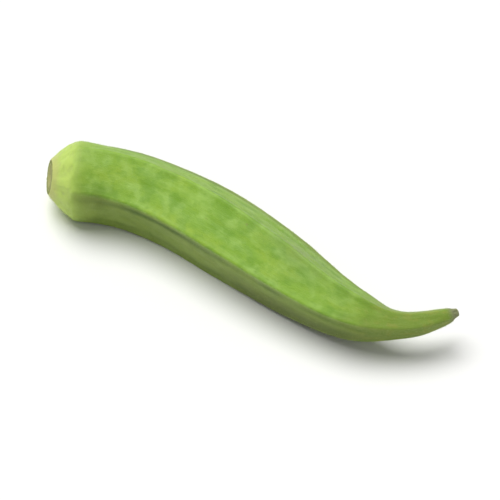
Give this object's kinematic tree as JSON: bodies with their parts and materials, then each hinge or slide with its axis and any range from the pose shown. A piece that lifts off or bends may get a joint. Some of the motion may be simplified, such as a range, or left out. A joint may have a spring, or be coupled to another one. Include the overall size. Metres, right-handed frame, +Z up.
{
  "type": "okra pod",
  "caption": "Slim curved green okra pod with a blunt cut cap, ridged flat-sided body and thin curled beak, lying on its side.",
  "frame": {"origin": "on the surface that the pod lies on, under the middle of its box", "axes": "+X from the cut cap towards the beak, +Z up off the surface"},
  "size_m": [0.1052, 0.0298, 0.0183],
  "materials": {
    "okra_skin": "soft satin plant skin with a faint fuzz"
  },
  "bodies": {
    "root": {"okra_pod": "okra_skin"}
  },
  "joints": []
}
